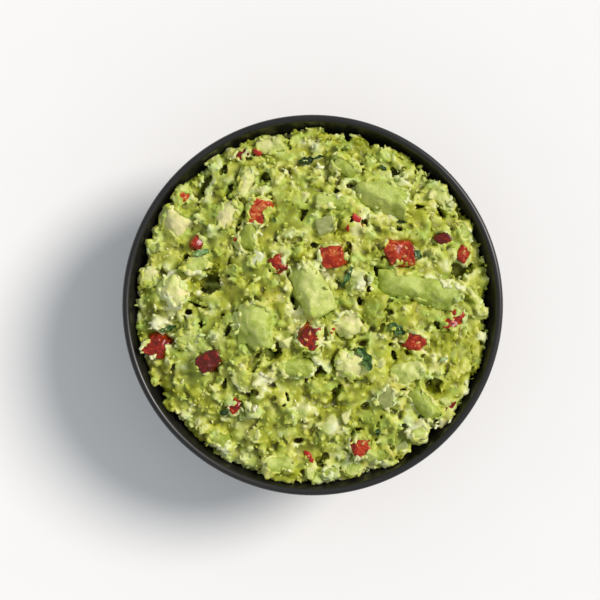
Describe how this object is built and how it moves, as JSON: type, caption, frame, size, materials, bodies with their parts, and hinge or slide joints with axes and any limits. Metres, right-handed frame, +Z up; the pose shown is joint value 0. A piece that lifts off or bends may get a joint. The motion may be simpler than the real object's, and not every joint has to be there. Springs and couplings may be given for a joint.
{
  "type": "bowl of guacamole",
  "caption": "Round charcoal bowl heaped with chunky guacamole: lumpy mashed avocado with cut avocado, diced tomato and diced onion half sunk in it.",
  "frame": {"origin": "middle of the bowl's foot, on the surface it stands on", "axes": "+Z up, +Y towards the top of the view from above, +X to its right"},
  "size_m": [0.14, 0.14, 0.0665],
  "materials": {
    "charcoal": "satin charcoal melamine, smooth",
    "mash": "moist crumbly mashed avocado, small wet highlights",
    "avocado": "smooth moist cut avocado flesh",
    "tomato": "wet diced ripe tomato, glossy skin",
    "onion": "wet translucent diced onion"
  },
  "bodies": {
    "root": {"bowl": "charcoal", "guacamole": "mash", "avocado_01": "avocado", "avocado_02": "avocado", "avocado_03": "avocado", "avocado_04": "avocado", "avocado_05": "avocado", "avocado_06": "avocado", "avocado_07": "avocado", "avocado_08": "avocado", "avocado_09": "avocado", "avocado_10": "avocado", "avocado_11": "avocado", "avocado_12": "avocado", "avocado_13": "avocado", "avocado_14": "avocado", "avocado_15": "avocado", "avocado_16": "avocado", "avocado_17": "avocado", "avocado_18": "avocado", "avocado_19": "avocado", "avocado_20": "avocado", "avocado_21": "avocado", "avocado_22": "avocado", "avocado_23": "avocado", "avocado_24": "avocado", "avocado_25": "avocado", "avocado_26": "avocado", "avocado_27": "avocado", "avocado_28": "avocado", "avocado_29": "avocado", "avocado_30": "avocado", "tomato_01": "tomato", "tomato_02": "tomato", "tomato_03": "tomato", "tomato_04": "tomato", "tomato_05": "tomato", "tomato_06": "tomato", "tomato_07": "tomato", "tomato_08": "tomato", "tomato_09": "tomato", "tomato_10": "tomato", "tomato_11": "tomato", "tomato_12": "tomato", "tomato_13": "tomato", "tomato_14": "tomato", "tomato_15": "tomato", "tomato_16": "tomato", "tomato_17": "tomato", "onion_01": "onion", "onion_02": "onion", "onion_03": "onion", "onion_04": "onion", "onion_05": "onion"}
  },
  "joints": []
}
